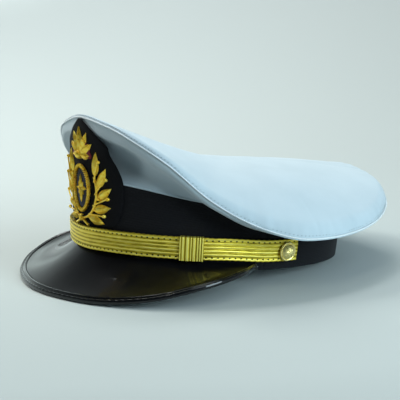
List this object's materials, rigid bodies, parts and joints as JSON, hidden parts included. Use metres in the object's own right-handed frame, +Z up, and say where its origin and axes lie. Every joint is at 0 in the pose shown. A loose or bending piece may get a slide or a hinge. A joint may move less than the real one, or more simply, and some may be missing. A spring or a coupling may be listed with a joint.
{
  "type": "peaked cap",
  "caption": "Peaked cap with a white cloth crown, black band, patent peak, gold lace chin strap and gold badge, standing on its peak and the back of its band.",
  "frame": {"origin": "middle of the cap's footprint box, on the surface it stands on", "axes": "+Z up, -Y towards the peak, +X towards the wearer's left"},
  "size_m": [0.2432, 0.2818, 0.1201],
  "materials": {
    "white_cloth": "smooth white cap cloth",
    "black_cloth": "ribbed black band cloth",
    "patent": "black patent, mirror gloss",
    "gold_lace": "woven gold metal thread",
    "gold_wire": "coiled gold wire embroidery",
    "navy_cloth": "navy felt",
    "gilt": "polished gilt"
  },
  "bodies": {
    "root": {"band": "black_cloth", "crown_side": "white_cloth", "crown_top": "white_cloth", "peak": "patent", "peak_rim": "patent", "strap_inner": "gold_lace", "strap_outer": "gold_lace", "keeper_left": "gold_lace", "keeper_right": "gold_lace", "button_left": "gilt", "button_right": "gilt", "badge_patch": "black_cloth", "badge_medallion": "navy_cloth", "badge_ring": "gold_wire", "badge_star": "gold_wire", "badge_palmette": "gold_wire", "badge_spray_left": "gold_wire", "badge_spray_right": "gold_wire"}
  },
  "joints": []
}
